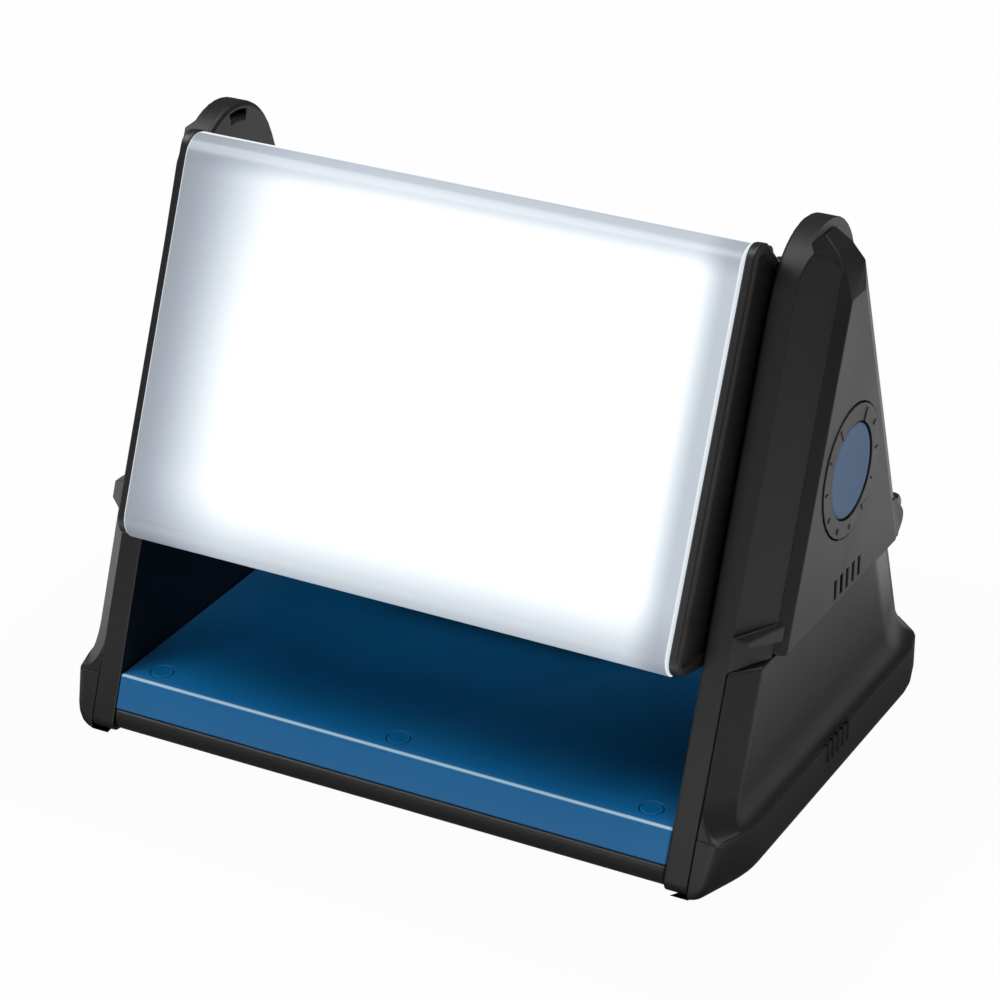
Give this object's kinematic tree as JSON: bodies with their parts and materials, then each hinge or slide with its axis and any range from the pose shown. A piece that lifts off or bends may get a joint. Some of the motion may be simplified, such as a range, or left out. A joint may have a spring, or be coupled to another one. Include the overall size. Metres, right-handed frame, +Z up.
{
  "type": "cordless work light",
  "caption": "Free-standing cordless work light: an A-shaped stand with a tilting light panel, a storage shelf, a dimmer dial, a battery pack and a carrying handle.",
  "frame": {"origin": "middle of the footprint on the floor, which is also the bottom centre of the overall box", "axes": "+Z up, +X towards the cheek with the dimmer dial, +Y towards the back where the battery pack goes in; the light shines towards -Y"},
  "size_m": [0.2776, 0.2118, 0.2215],
  "materials": {
    "stand_black": "fine moulded texture",
    "satin_black": "satin",
    "shelf_blue": "semi-gloss moulded",
    "button_blue": "soft touch",
    "opal": "opal diffusing",
    "white": "smooth",
    "rubber": "matt",
    "steel": "turned",
    "copper": "tinned copper",
    "aluminium": "pressed",
    "board_white": "white solder mask",
    "board_green": "green solder mask",
    "cell_wrap": "shrink film"
  },
  "bodies": {
    "stand": {"base_pan": "stand_black", "battery_bay": "stand_black", "cheek_frame_left": "stand_black", "cheek_frame_right": "stand_black", "contact_blade_1": "copper", "contact_blade_2": "copper", "contact_block": "satin_black", "control_board": "board_green", "cover_left": "stand_black", "cover_right": "stand_black", "dimmer_encoder": "white", "driver_board": "board_green", "foot_1": "rubber", "foot_2": "rubber", "foot_3": "rubber", "foot_4": "rubber", "handle_pin_left": "steel", "handle_pin_right": "steel", "pivot_stud_left": "steel", "pivot_stud_right": "steel", "power_switch": "satin_black", "rear_cover": "stand_black", "rear_screw_1": "steel", "rear_screw_2": "steel", "skirt_left": "stand_black", "skirt_right": "stand_black", "tray": "shelf_blue", "tray_plug_1": "shelf_blue", "tray_plug_2": "shelf_blue", "tray_plug_3": "shelf_blue", "tray_screw_1": "steel", "tray_screw_2": "steel", "tray_screw_3": "steel"},
    "panel": {"panel_cap_left": "satin_black", "panel_cap_right": "satin_black", "panel_shell": "stand_black", "lens": "opal", "reflector": "white", "led_board": "board_white", "heat_sink": "aluminium"},
    "handle": {"handle_arm_left": "satin_black", "handle_arm_right": "satin_black", "handle_bar": "satin_black", "handle_grip": "rubber"},
    "dimmer": {"dimmer_ring": "satin_black"},
    "power": {"power_button": "button_blue"},
    "battery": {"pack_case_lower": "satin_black", "pack_case_upper": "satin_black", "cell_holder_left": "white", "cell_holder_right": "white", "pack_cell_1": "cell_wrap", "pack_cell_2": "cell_wrap", "pack_cell_3": "cell_wrap", "pack_cell_4": "cell_wrap", "pack_cell_5": "cell_wrap"},
    "release_left": {"pack_button_left": "rubber"},
    "release_right": {"pack_button_right": "rubber"}
  },
  "joints": [
    {"name": "panel_tilt", "type": "hinge", "parent": "stand", "child": "panel", "pos_m": [0, -0.00436, 0.19314], "axis": [-1, 0, 0], "range_deg": [-20, 75]},
    {"name": "handle_swing", "type": "hinge", "parent": "stand", "child": "handle", "pos_m": [0, 0.02425, 0.17504], "axis": [1, 0, 0], "range_deg": [0, 155]},
    {"name": "dimmer_turn", "type": "hinge", "parent": "stand", "child": "dimmer", "pos_m": [0.134, -0.00476, 0.1281], "axis": [1, 0, 0], "range_deg": [-150, 150]},
    {"name": "power_press", "type": "slide", "parent": "stand", "child": "power", "axis": [-1, 0, 0], "range_m": [0, 0.0012], "stiffness_N_per_m": 1500, "springref_m": -0.0004},
    {"name": "battery_slide", "type": "slide", "parent": "stand", "child": "battery", "axis": [0, 1, 0], "range_m": [0, 0.12]},
    {"name": "release_left_press", "type": "slide", "parent": "battery", "child": "release_left", "axis": [1, 0, 0], "range_m": [0, 0.002], "stiffness_N_per_m": 1500, "springref_m": -0.0005},
    {"name": "release_right_press", "type": "slide", "parent": "battery", "child": "release_right", "axis": [-1, 0, 0], "range_m": [0, 0.002], "stiffness_N_per_m": 1500, "springref_m": -0.0005}
  ]
}
